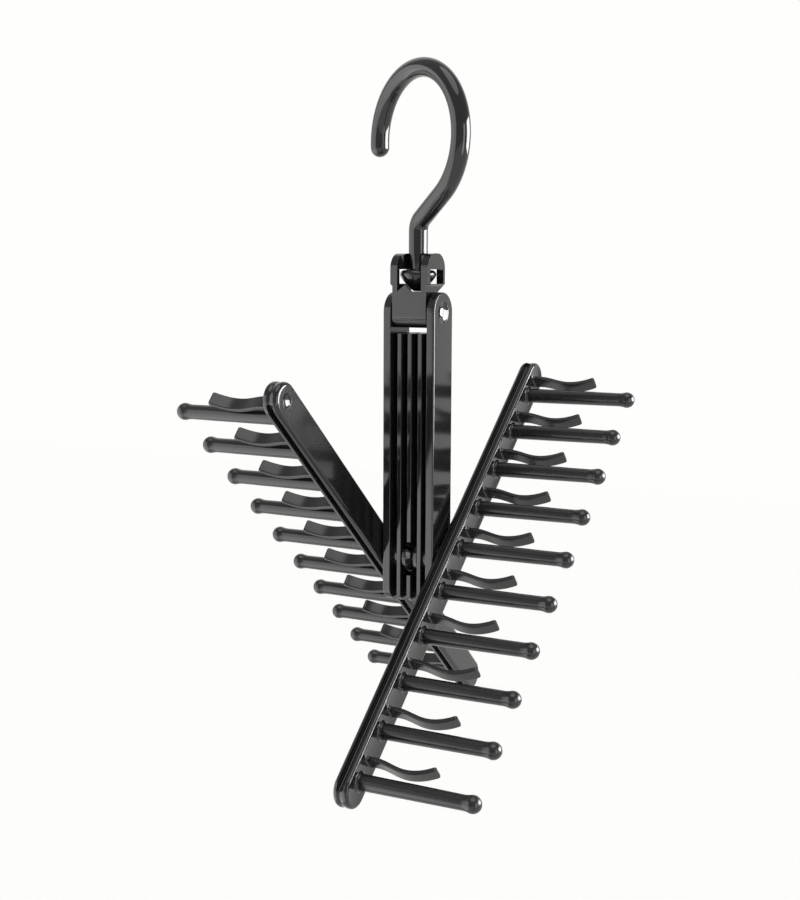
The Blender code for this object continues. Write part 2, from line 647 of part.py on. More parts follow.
def build_peg(name: str, side: int, height: float, frame: bpy.types.Object) -> bpy.types.Object:
    """Turn one peg with its spigot, root fillet and ball."""
    root = PEG_ROOT_GAP
    joint = math.sqrt(PEG_BALL_RADIUS ** 2 - PEG_TIP_RADIUS ** 2)
    bend = 1 - math.sqrt(0.5)
    stations = [
        (-PEG_SPIGOT_LENGTH, 0.0),
        (-PEG_SPIGOT_LENGTH, PEG_SPIGOT_RADIUS),
        (root, PEG_SPIGOT_RADIUS),
        (root, PEG_ROOT_RADIUS + PEG_FILLET_RADIUS),
        (root + PEG_FILLET_RADIUS * bend, PEG_ROOT_RADIUS + PEG_FILLET_RADIUS * bend),
        (root + PEG_FILLET_RADIUS, PEG_ROOT_RADIUS),
        (PEG_LENGTH - joint, PEG_TIP_RADIUS),
    ]
    first = math.asin(PEG_TIP_RADIUS / PEG_BALL_RADIUS)
    for step in range(1, PEG_BALL_STEPS):
        angle = (math.pi - first) * (1 - step / PEG_BALL_STEPS)
        reach = -PEG_BALL_RADIUS * math.cos(math.pi - angle)
        stations.append((PEG_LENGTH + reach, PEG_BALL_RADIUS * math.sin(angle)))
    stations.append((PEG_LENGTH + PEG_BALL_RADIUS, 0.0))
    places = [(side * place, radius) for place, radius in stations]
    peg = turned(name, places, PEG_SIDES, "X")
    peg.parent = frame
    peg.location = (side * ARM_OUTER_X, 0.0, height)
    return peg


def ease(share: float) -> float:
    """Return a share that starts and ends level."""
    return (1 - math.cos(math.pi * share)) / 2


def tongue_line() -> list:
    """Return (reach, height over the peg's axis, thickness) along the leaf."""
    line = [
        (TONGUE_ROOT_GAP, TONGUE_ROOT_HEIGHT, TONGUE_ROOT_THICKNESS),
        (TONGUE_ROOT_GAP + TONGUE_ROOT_THICKNESS / 2, TONGUE_ROOT_HEIGHT, TONGUE_THICKNESS),
    ]
    fall = TONGUE_ROOT_HEIGHT - TONGUE_DIP_HEIGHT
    run = TONGUE_DIP_REACH - TONGUE_SHOULDER_REACH
    for step in range(TONGUE_SHOULDER_STEPS):
        share = step / TONGUE_SHOULDER_STEPS
        reach = TONGUE_SHOULDER_REACH + run * share
        line.append((reach, TONGUE_ROOT_HEIGHT - fall * ease(share), TONGUE_THICKNESS))
    rise = TONGUE_TIP_HEIGHT - TONGUE_DIP_HEIGHT
    run = TONGUE_LENGTH - TONGUE_DIP_REACH
    for step in range(TONGUE_TIP_STEPS + 1):
        share = step / TONGUE_TIP_STEPS
        height = TONGUE_DIP_HEIGHT + rise * share ** 2
        line.append((TONGUE_DIP_REACH + run * share, height, TONGUE_THICKNESS))
    return line


def build_tongue(name: str, side: int, height: float, frame: bpy.types.Object) -> bpy.types.Object:
    """Loft one bowed leaf; its origin is on the root, where it bends."""
    line = tongue_line()
    rings = []
    for index, (reach, lift, thickness) in enumerate(line):
        before = line[max(index - 1, 0)]
        after = line[min(index + 1, len(line) - 1)]
        if index < 2:
            slope = Vector((1.0, 0.0))
        else:
            slope = Vector((after[0] - before[0], after[1] - before[1])).normalized()
        normal = Vector((-slope[1], slope[0]))
        wide = TONGUE_WIDTH / 2
        thick = thickness / 2
        cut = TONGUE_EDGE_ROUND
        section = [
            (wide - cut, thick), (wide, thick - cut), (wide, cut - thick), (wide - cut, -thick),
            (cut - wide, -thick), (-wide, cut - thick), (-wide, thick - cut), (cut - wide, thick),
        ]
        ring = []
        for across, offset in section:
            along = reach + normal[0] * offset
            over = lift - TONGUE_ROOT_HEIGHT + normal[1] * offset
            ring.append((side * along, across, over))
        rings.append(ring)
    tongue = loft(name, rings)
    tongue.parent = frame
    tongue.location = (side * ARM_OUTER_X, 0.0, height + TONGUE_ROOT_HEIGHT)
    return tongue


def main() -> None:
    """Build every piece in its place."""
    clear_scene()
    pieces = [build_hook()]
    connector_frame = empty("connector_frame", (0.0, 0.0, PIN_Z))
    pieces.append(build_connector(connector_frame))
    column_frame = empty("column_frame", (0.0, 0.0, 0.0), connector_frame)
    pieces.append(build_pin(column_frame))
    pieces.append(build_column(column_frame))
    pivot = PIVOT_Z - PIN_Z
    for side, label in ((-1, "left"), (1, "right")):
        turn = -side * ARM_REST_ANGLE
        arm_frame = empty(f"{label}_arm_frame", (0.0, 0.0, pivot), column_frame, turn)
        pieces.append(build_arm(side, label, arm_frame))
        pieces.append(build_stud(side, label, arm_frame))
        for index, height in enumerate(peg_heights()):
            number = f"{index + 1:02d}"
            pieces.append(build_peg(f"{label}_peg_{number}", side, height, arm_frame))
            pieces.append(build_tongue(f"{label}_tongue_{number}", side, height, arm_frame))
    for piece in pieces:
        shade(piece)


main()
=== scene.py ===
"""Looks of the rotating tie rack: moulded black pieces, a studio and the camera.

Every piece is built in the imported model's frame, in metres: the origin is where
the hook's loop hangs by its inside, X runs along the arms' pivot, Y runs back
and Z runs up.  Sizes repeat the solids' own sizes, with the rounding and the
fillets that a moulded piece shows up close.
"""
from __future__ import annotations

import logging
import math
from collections.abc import Callable
from dataclasses import dataclass
from enum import Enum
from typing import Protocol

import bmesh
import bpy
from bmesh.types import BMEdge
from bpy.types import ID, Material, Node, NodeSocket, NodeTree, Object
from mathutils import Matrix, Vector

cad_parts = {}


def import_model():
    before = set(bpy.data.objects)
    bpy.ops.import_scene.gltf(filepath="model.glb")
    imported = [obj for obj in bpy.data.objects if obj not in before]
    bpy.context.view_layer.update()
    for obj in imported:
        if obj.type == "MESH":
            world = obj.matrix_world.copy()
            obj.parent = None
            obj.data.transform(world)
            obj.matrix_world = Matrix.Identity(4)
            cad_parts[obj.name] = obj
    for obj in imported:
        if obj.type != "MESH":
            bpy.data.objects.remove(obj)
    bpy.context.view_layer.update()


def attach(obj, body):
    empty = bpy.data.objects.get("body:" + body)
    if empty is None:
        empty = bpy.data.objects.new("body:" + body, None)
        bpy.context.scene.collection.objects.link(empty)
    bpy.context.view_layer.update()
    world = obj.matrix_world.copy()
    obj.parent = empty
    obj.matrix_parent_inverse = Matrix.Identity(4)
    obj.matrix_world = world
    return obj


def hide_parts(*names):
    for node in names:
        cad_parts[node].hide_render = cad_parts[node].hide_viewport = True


LOG = logging.getLogger("tie_rack")
Ring = list[tuple[float, float, float]]
Outline = list[tuple[float, float]]
# Radius that ends a swept rod in a point.
POINT = 0.0000001
# How far apart points may lie and still be merged to one.
MERGE = 0.000002
# How close a place has to be to count as the same.
NEAR = 0.0001
# How far cutters reach past what they cut.
MARGIN = 0.0010
# Bends below the first are flat, and those above the second get rounded.
FLAT_BEND = math.radians(0.05)
SHARP_BEND = math.radians(32)
# Bends above this stay sharp in the shading.
CREASE = math.radians(40)
# Weight of large faces against small ones in the smooth shading; 50 is even.
FACE_WEIGHT = 80
# Radius of a dish's cutter, as a share of the dish's own, so that it clears the rim.
DISH_REACH = 1.1
# Places of the mix node's two colours and of its mixed colour.
MIX_FIRST, MIX_SECOND, MIX_RESULT = 6, 7, 2


class Side(Enum):
    """The rack's two arms, by the sign of their X place."""

    LEFT = -1
    RIGHT = 1

    @property
    def label(self) -> str:
        """Return the side's word in the nodes' names."""
        return self.name.lower()


# Finishes


def linear(code: str) -> tuple[float, float, float, float]:
    """Turn an sRGB hex value to linear red, green, blue and alpha.

    Args:
        code: Six hex digits, with or without a leading hash.

    Returns:
        The linear colour, opaque.
    """
    digits = code.lstrip("#")
    levels = [int(digits[place:place + 2], 16) / 255 for place in (0, 2, 4)]
    red, green, blue = [
        level / 12.92 if level <= 0.04045 else ((level + 0.055) / 1.055) ** 2.4
        for level in levels
    ]
    return red, green, blue, 1.0


def add_node(
    tree: NodeTree,
    kind: str,
    settings: dict[str, object] | None = None,
    links: dict[int | str, object] | None = None,
) -> Node:
    """Add a node, set what it is given and link its inputs.

    Args:
        tree: The node tree that takes the node.
        kind: The node's type name.
        settings: Node properties by name.
        links: Input socket by name or index, to an output socket or a plain value.

    Returns:
        The new node.
    """
    node = tree.nodes.new(kind)
    for name, value in (settings or {}).items():
        setattr(node, name, value)
    for socket, value in (links or {}).items():
        if isinstance(value, NodeSocket):
            tree.links.new(value, node.inputs[socket])
        else:
            node.inputs[socket].default_value = value
    return node


def blank_material(name: str) -> tuple[Material, NodeTree]:
    """Add a node material without nodes.

    Args:
        name: The material's name.

    Returns:
        The material and its empty tree.
    """
    material = bpy.data.materials.new(name)
    material.use_nodes = True
    material.node_tree.nodes.clear()
    return material, material.node_tree


class Finish(Protocol):
    """Anything that can build one node material."""

    def material(self) -> Material:
        """Build the node material."""


@dataclass(frozen=True)
class GlossAbs:
    """Black ABS from a polished mould: a mirror-like skin with faint flow waves."""

    name: str
    deep: str = "#171718"
    pale: str = "#1f1f20"
    roughness_low: float = 0.09
    roughness_high: float = 0.14
    ior: float = 1.55
    wave_mm: float = 14.0
    wave_height_mm: float = 0.020
    cloud_mm: float = 30.8
    peel_mm: float = 1.1
    peel_height_mm: float = 0.0012

    def material(self) -> Material:
        """Build the node material.

        Returns:
            The finished material.
        """
        material, tree = blank_material(self.name)
        place = add_node(tree, "ShaderNodeTexCoord").outputs["Object"]
        waves, peel, clouds = [
            add_node(
                tree, "ShaderNodeTexNoise", {"noise_dimensions": "3D"},
                {"Vector": place, "Scale": 1000 / size_mm, "Detail": detail, "Roughness": roughness},
            ).outputs["Fac"]
            for size_mm, detail, roughness in (
                # Sink marks and flow waves are some ten millimetres across and a few hundredths deep.
                (self.wave_mm, 2.0, 0.45),
                # The mould's own polish leaves a peel about a millimetre across.
                (self.peel_mm, 3.0, 0.5),
                # Handling leaves cloudy patches that scatter a little more light.
                (self.cloud_mm, 5.0, 0.6),
            )]
        tint = add_node(
            tree, "ShaderNodeMix", {"data_type": "RGBA"},
            {"Factor": clouds, MIX_FIRST: linear(self.deep), MIX_SECOND: linear(self.pale)},
        )
        rough = add_node(
            tree, "ShaderNodeMapRange", None,
            {"Value": clouds, "From Min": 0.3, "From Max": 0.7,
             "To Min": self.roughness_low, "To Max": self.roughness_high},
        )
        wave_bump = add_node(
            tree, "ShaderNodeBump", None,
            {"Strength": 1.0, "Distance": self.wave_height_mm / 1000, "Height": waves},
        )
        bump = add_node(
            tree, "ShaderNodeBump", None,
            {"Strength": 1.0, "Distance": self.peel_height_mm / 1000,
             "Height": peel, "Normal": wave_bump.outputs["Normal"]},
        )
        shader = add_node(
            tree, "ShaderNodeBsdfPrincipled", None,
            {"Base Color": tint.outputs[MIX_RESULT], "Roughness": rough.outputs["Result"],
             "IOR": self.ior, "Normal": bump.outputs["Normal"]},
        )
        add_node(tree, "ShaderNodeOutputMaterial", None, {"Surface": shader.outputs["BSDF"]})
        return material


@dataclass(frozen=True)
class GroundSteel:
    """Ground steel wire, cut and tumbled: satin grey with a fine grain that breaks up its glints."""

    name: str
    bright: str = "#cfcdc8"
    dull: str = "#b4b2ad"
    roughness_low: float = 0.16
    roughness_high: float = 0.30
    grain_mm: float = 0.35
    grain_height_mm: float = 0.0015

    def material(self) -> Material:
        """Build the node material.

        Returns:
            The finished material.
        """
        material, tree = blank_material(self.name)
        place = add_node(tree, "ShaderNodeTexCoord").outputs["Object"]
        # Tumbling leaves marks of a few tenths of a millimetre, lighter where they are smooth.
        grain = add_node(
            tree, "ShaderNodeTexNoise", {"noise_dimensions": "3D"},
            {"Vector": place, "Scale": 1000 / self.grain_mm, "Detail": 4.0, "Roughness": 0.6},
        )
        tint = add_node(
            tree, "ShaderNodeMix", {"data_type": "RGBA"},
            {"Factor": grain.outputs["Fac"], MIX_FIRST: linear(self.dull), MIX_SECOND: linear(self.bright)},
        )
        rough = add_node(
            tree, "ShaderNodeMapRange", None,
            {"Value": grain.outputs["Fac"], "To Min": self.roughness_high, "To Max": self.roughness_low},
        )
        bump = add_node(
            tree, "ShaderNodeBump", None,
            {"Strength": 1.0, "Distance": self.grain_height_mm / 1000, "Height": grain.outputs["Fac"]},
        )
        shader = add_node(
            tree, "ShaderNodeBsdfPrincipled", None,
            {"Base Color": tint.outputs[MIX_RESULT], "Metallic": 1.0, "Roughness": rough.outputs["Result"],
             "Normal": bump.outputs["Normal"]},
        )
        add_node(tree, "ShaderNodeOutputMaterial", None, {"Surface": shader.outputs["BSDF"]})
        return material


# Mesh work


def arc(centre: tuple[float, float], radius: float, start: float, end: float, steps: int) -> Outline:
    """Return points along an arc.

    Args:
        centre: The arc's centre.
        radius: Its radius in metres.
        start: First angle in degrees.
        end: Last angle in degrees.
        steps: How many stretches the arc is cut in.

    Returns:
        The points, both ends included.
    """
    turns = [math.radians(start + (end - start) * step / steps) for step in range(steps + 1)]
    return [(centre[0] + radius * math.cos(t), centre[1] + radius * math.sin(t)) for t in turns]


def quarter(radius: float, steps: int) -> Outline:
    """Return (run, inset) along a quarter round, from no run to no inset."""
    turns = [math.radians(90 * step / steps) for step in range(steps + 1)]
    return [(radius * (1 - math.cos(t)), radius * (1 - math.sin(t))) for t in turns]


def shares(steps: int) -> list[float]:
    """Return the even shares from 0 to 1, both included."""
    return [step / steps for step in range(steps + 1)]


def put(name: str, data: ID) -> Object:
    """Add an object to the scene.

    Args:
        name: The object's name.
        data: The mesh, lamp or camera that it shows.

    Returns:
        The new object.
    """
    item = bpy.data.objects.new(name, data)
    bpy.context.scene.collection.objects.link(item)
    return item


class Bench:
    """Mesh tools that the pieces share."""

    @staticmethod
    def loft(name: str, rings: list[Ring]) -> Object:
        """Join rings of equal counts to one closed skin.

        Args:
            name: The object's name.
            rings: Rings of points; a first or last ring of one point is a pole.

        Returns:
            The new object, with its faces turned outwards.
        """
        shell = bmesh.new()
        loops = [[shell.verts.new(point) for point in ring] for ring in rings]
        for first, second in zip(loops, loops[1:]):
            count = max(len(first), len(second))
            for step in range(count):
                after = (step + 1) % count
                corners = [first[step % len(first)], first[after % len(first)],
                           second[after % len(second)], second[step % len(second)]]
                shell.faces.new(list(dict.fromkeys(corners)))
        for loop in (loops[0], loops[-1]):
            if len(loop) > 2:
                shell.faces.new(loop)
        bmesh.ops.recalc_face_normals(shell, faces=shell.faces)
        mesh = bpy.data.meshes.new(name)
        shell.to_mesh(mesh)
        shell.free()
        return put(name, mesh)

    @staticmethod
    def turned(
        name: str, stations: Outline, sides: int = 64, sign: int = 1, height: float = 0.0,
    ) -> Object:
        """Turn (place, radius) stations about an axis along X.

        Args:
            name: The object's name.
            stations: Places along X with the radius there; radius 0 is a pole.
            sides: How many sides the round has.
            sign: -1 to mirror the places.
            height: Height of the axis.

        Returns:
            The turned body.
        """
        rings: list[Ring] = []
        for place, radius in stations:
            if radius <= 0:
                rings.append([(sign * place, 0.0, 0.0)])
                continue
            turns = [2 * math.pi * (step + 0.5) / sides for step in range(sides)]
            rings.append([(sign * place, radius * math.cos(t), radius * math.sin(t)) for t in turns])
        body = Bench.loft(name, rings)
        body.data.transform(Matrix.Translation((0, 0, height)))
        return body

    @staticmethod
    def drum(low: float, high: float, radius: float) -> Outline:
        """Return the stations of a plain round body."""
        return [(low, 0.0), (low, radius), (high, radius), (high, 0.0)]

    @staticmethod
    def along_x(name: str, outline: Outline, low: float, high: float) -> Object:
        """Extrude an outline in Y and Z from one X place to another."""
        return Bench.loft(name, [[(place, a, b) for a, b in outline] for place in (low, high)])

    @staticmethod
    def along_y(name: str, outline: Outline, low: float, high: float) -> Object:
        """Extrude an outline in X and Z from one Y place to another."""
        return Bench.loft(name, [[(a, place, b) for a, b in outline] for place in (low, high)])

    @staticmethod
    def along_z(name: str, outline: Outline, low: float, high: float) -> Object:
        """Extrude an outline in X and Y from one Z place to another."""
        return Bench.loft(name, [[(a, b, place) for a, b in outline] for place in (low, high)])

    @staticmethod
    def box(name: str, low: tuple[float, float, float], high: tuple[float, float, float]) -> Object:
        """Return a box between two corners."""
        outline = [(low[1], low[2]), (high[1], low[2]), (high[1], high[2]), (low[1], high[2])]
        return Bench.along_x(name, outline, low[0], high[0])

    @staticmethod
    def carve(body: Object, tool: Object) -> None:
        """Cut the tool's shape out of the body at once, and remove the tool.

        Args:
            body: The piece that is cut.
            tool: The cutter.
        """
        step = body.modifiers.new("carve", "BOOLEAN")
        step.operation = "DIFFERENCE"
        step.solver = "EXACT"
        step.object = tool
        Bench.settle(body)
        bpy.data.objects.remove(tool, do_unlink=True)

    @staticmethod
    def settle(body: Object) -> None:
        """Turn the body's modifiers to plain mesh.

        Args:
            body: The piece with live modifiers.
        """
        graph = bpy.context.evaluated_depsgraph_get()
        graph.update()
        mesh = bpy.data.meshes.new_from_object(
            body.evaluated_get(graph), preserve_all_data_layers=True, depsgraph=graph)
        body.modifiers.clear()
        old = body.data
        body.data = mesh
        bpy.data.meshes.remove(old)
        mesh.name = body.name

    @staticmethod
    def dish(face: float, radius: float, depth: float) -> Outline:
        """Return the stations of a cutter that sinks a round dish into a face.

        Args:
            face: Place of the face along X.
            radius: The dish's radius at the face.
            depth: How deep its middle lies; negative for a face that looks the other way.

        Returns:
            The cutter's (place, radius) stations, from above the face to the dish's middle.
        """
        stations = [(face - depth * (1 - share ** 2), radius * share)
                    for share in (DISH_REACH - step for step in shares(16))]
        return [(stations[0][0], 0.0)] + stations + [(face - depth, 0.0)]

    @staticmethod
    def soften(
        body: Object,
        width: float,
        segments: int = 3,
        share: Callable[[BMEdge], float] | None = None,
    ) -> None:
        """Round the body's sharp edges, as a mould's polished corners are.

        Args:
            body: The piece, still with sharp edges.
            width: The full width of the rounding.
            segments: How many faces each rounding gets.
            share: Gives an edge's share of the width; by default every edge has all of it.
        """
        shell = bmesh.new()
        shell.from_mesh(body.data)
        bmesh.ops.remove_doubles(shell, verts=shell.verts, dist=MERGE)
        bmesh.ops.dissolve_limit(
            shell, angle_limit=FLAT_BEND, verts=shell.verts, edges=shell.edges)
        weights = shell.edges.layers.float.new("bevel_weight_edge")
        for edge in shell.edges:
            if edge.is_manifold and edge.calc_face_angle() > SHARP_BEND:
                edge[weights] = share(edge) if share else 1.0
        shell.to_mesh(body.data)
        shell.free()
        step = body.modifiers.new("edges", "BEVEL")
        step.width = width
        step.segments = segments
        step.limit_method = "WEIGHT"
        step.use_clamp_overlap = True
        step.miter_outer = "MITER_ARC"
        Bench.settle(body)

    @staticmethod
    def hand_over(
        body: Object,
        material: Material,
        rider: str,
        nodes: list[str],
        place: Matrix | None = None,
        slot: str = "black_plastic",
    ) -> None:
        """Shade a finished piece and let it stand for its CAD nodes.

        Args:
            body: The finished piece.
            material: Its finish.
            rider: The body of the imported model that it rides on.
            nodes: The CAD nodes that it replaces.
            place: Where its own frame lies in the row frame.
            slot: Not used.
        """
        if place is not None:
            body.data.transform(place)
        body.data.materials.clear()
        body.data.materials.append(material)
        body.data.polygons.foreach_set("use_smooth", [True] * len(body.data.polygons))
        body.data.set_sharp_from_angle(angle=CREASE)
        weigh = body.modifiers.new("weigh", "WEIGHTED_NORMAL")
        weigh.keep_sharp = True
        weigh.weight = FACE_WEIGHT
        Bench.settle(body)
        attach(body, rider)
        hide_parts(*nodes)
        LOG.info("%s: %d faces, rides on %s", body.name, len(body.data.polygons), rider)


class RoundSweep:
    """Geometry Nodes tree that sweeps a round section along a measured path.

    The path is a chain of edges whose points carry their own radius, so that
    rods, necks, balls and rounded tips come out as one skin.
    """

    RADIUS = "rod_radius"

    def __init__(self, name: str, repeats: bool) -> None:
        """Build the tree; with repeats, the swept rod is set out in a row.

        Args:
            name: The tree's name.
            repeats: Whether copies of the swept rod are set out in a row.
        """
        self.repeats = repeats
        self.tree = bpy.data.node_groups.new(name, "GeometryNodeTree")
        kinds = {"Path": "Geometry", "Sides": "Int", "Finish": "Material"}
        if repeats:
            kinds |= {"Count": "Int", "First Place": "Vector", "Step": "Vector"}
        face = self.tree.interface
        self.sockets = {
            word: face.new_socket(word, in_out="INPUT", socket_type=f"NodeSocket{kind}").identifier
            for word, kind in kinds.items()}
        face.new_socket("Rod", in_out="OUTPUT", socket_type="NodeSocketGeometry")
        self._wire()

    def _wire(self) -> None:
        """Add and link the tree's nodes."""
        tree = self.tree
        given = add_node(tree, "NodeGroupInput").outputs
        chain = add_node(tree, "GeometryNodeMeshToCurve", None, {"Mesh": given["Path"]})
        radius = add_node(
            tree, "GeometryNodeInputNamedAttribute", {"data_type": "FLOAT"}, {"Name": self.RADIUS})
        section = add_node(
            tree, "GeometryNodeCurvePrimitiveCircle", {"mode": "RADIUS"},
            {"Resolution": given["Sides"], "Radius": 1.0})
        swept = add_node(
            tree, "GeometryNodeCurveToMesh", None,
            {"Curve": chain.outputs["Curve"], "Profile Curve": section.outputs["Curve"],
             "Scale": radius.outputs["Attribute"]})
        closed = add_node(
            tree, "GeometryNodeMergeByDistance", None,
            {"Geometry": swept.outputs["Mesh"], "Distance": MERGE})
        result = closed.outputs["Geometry"]
        if self.repeats:
            places = add_node(
                tree, "GeometryNodeMeshLine", {"mode": "OFFSET"},
                {"Count": given["Count"], "Start Location": given["First Place"],
                 "Offset": given["Step"]})
            copies = add_node(
                tree, "GeometryNodeInstanceOnPoints", None,
                {"Points": places.outputs["Mesh"], "Instance": result})
            result = add_node(
                tree, "GeometryNodeRealizeInstances", None,
                {"Geometry": copies.outputs["Instances"]}).outputs["Geometry"]
        dressed = add_node(
            tree, "GeometryNodeSetMaterial", None, {"Geometry": result, "Material": given["Finish"]})
        add_node(tree, "NodeGroupOutput", None, {"Rod": dressed.outputs["Geometry"]})

    def sweep(
        self, name: str, path: list[tuple[Vector, float]], values: dict[str, object],
    ) -> Object:
        """Sweep one path.

        Args:
            name: The new object's name.
            path: Points along the rod's middle with the radius at each.
            values: The tree's inputs by name.

        Returns:
            The swept rod as a plain mesh.
        """
        mesh = bpy.data.meshes.new(name)
        edges = [(index, index + 1) for index in range(len(path) - 1)]
        mesh.from_pydata([tuple(point) for point, _ in path], edges, [])
        radii = mesh.attributes.new(self.RADIUS, "FLOAT", "POINT")
        radii.data.foreach_set("value", [radius for _, radius in path])
        rod = put(name, mesh)
        step = rod.modifiers.new("sweep", "NODES")
        step.node_group = self.tree
        for word, value in values.items():
            step[self.sockets[word]] = value
        Bench.settle(rod)
        shell = bmesh.new()
        shell.from_mesh(rod.data)
        bmesh.ops.recalc_face_normals(shell, faces=shell.faces)
        shell.to_mesh(rod.data)
        shell.free()
        return rod


# The rack


@dataclass(frozen=True)
class Chain:
    """Heights of the hanging chain, from the inside of the hook's loop down."""

    hook_loop_centre: float = -0.02532
    shaft_top: float = -0.064797
    shoulder: float = -0.073997
    roof_top: float = -0.074297
    pin: float = -0.099497
    pivot: float = -0.207197
    arm_turn: float = math.radians(48.19)


@dataclass
class Hook:
    """The hanging hook: one round rod with a turning foot."""

    chain: Chain
    rod: float = 0.00414
    loop: float = 0.02946
    tip_angle: float = math.radians(192.0)
    slant: float = math.radians(54.93)
    bend: float = 0.0067
    plane_angle: float = math.radians(-25.87)
    neck: float = 0.0034
    neck_length: float = 0.0074
    neck_fillet: float = 0.0007
    foot: float = 0.0079
    foot_tip: float = 0.0022
    foot_shoulder: float = 0.0020
    foot_depth: float = 0.0089
    foot_taper_power: float = 1.4
    foot_edge: float = 0.0002
    foot_round: tuple[tuple[float, float], ...] = ((0.6, 0.85), (1.0, 0.6))
    sides: int = 56
    tip_steps: int = 13
    loop_steps: int = 120
    bend_steps: int = 24
    taper_steps: int = 20

    def path(self) -> list[tuple[Vector, float]]:
        """Return the rod's middle line with its radius, from tip to foot.

        Returns:
            Points along the middle line, each with the rod's radius there.
        """
        across = Vector((math.cos(self.plane_angle), math.sin(self.plane_angle), 0))
        up = Vector((0, 0, 1))
        centre = up * self.chain.hook_loop_centre

        def on_loop(angle: float) -> Vector:
            """Return the loop's point at an angle."""
            return centre + (across * math.cos(angle) + up * math.sin(angle)) * self.loop

        points: list[tuple[Vector, float]] = []
        tip_turn = self.rod / self.loop
        for step in range(self.tip_steps):
            share = math.radians(90 * step / self.tip_steps)
            angle = self.tip_angle - tip_turn * (1 - math.cos(share))
            points.append((on_loop(angle), max(self.rod * math.sin(share), POINT)))
        start = self.tip_angle - tip_turn
        for share in shares(self.loop_steps):
            points.append((on_loop(start + (-self.slant - start) * share), self.rod))
        bend_centre = across * self.bend + up * self.chain.shaft_top
        for share in shares(self.bend_steps)[1:]:
            angle = self.slant * (1 - share)
            outward = -across * math.cos(angle) + up * math.sin(angle)
            points.append((bend_centre + outward * self.bend, self.rod))
        for place, radius in self.foot_stations():
            points.append((up * place, radius))
        return points

    def foot_stations(self) -> Outline:
        """Return (height, radius) from the shoulder to the foot's lowest point.

        Returns:
            The stations of the rod's lower end, each with its height and radius.
        """
        flat, fillet, swell = self.chain.shoulder - self.neck_length, self.neck_fillet, self.foot_shoulder
        stations = [(self.chain.shoulder, self.rod)]
        stations += [(flat + inset, self.neck + run) for run, inset in quarter(fillet, 6)]
        stations += [(flat - run, self.foot - inset) for run, inset in quarter(swell, 6)]
        taper = self.foot_depth - swell
        for share in shares(self.taper_steps)[1:]:
            narrow = (self.foot - self.foot_tip) * share ** self.foot_taper_power
            stations.append((flat - swell - taper * share, self.foot - narrow))
        end = flat - self.foot_depth
        stations += [(end - self.foot_edge * drop, self.foot_tip * width) for drop, width in self.foot_round]
        return stations + [(end - self.foot_edge, POINT)]

    def dress(self, finish: Finish) -> None:
        """Sweep the rod and hand it over.

        Args:
            finish: The finish that the piece gets.
        """
        material = finish.material()
        sweep = RoundSweep("Hook rod sweep", repeats=False)
        rod = sweep.sweep("hook_rod", self.path(), {"Sides": self.sides, "Finish": material})
        Bench.hand_over(rod, material, "hook", ["hook"])


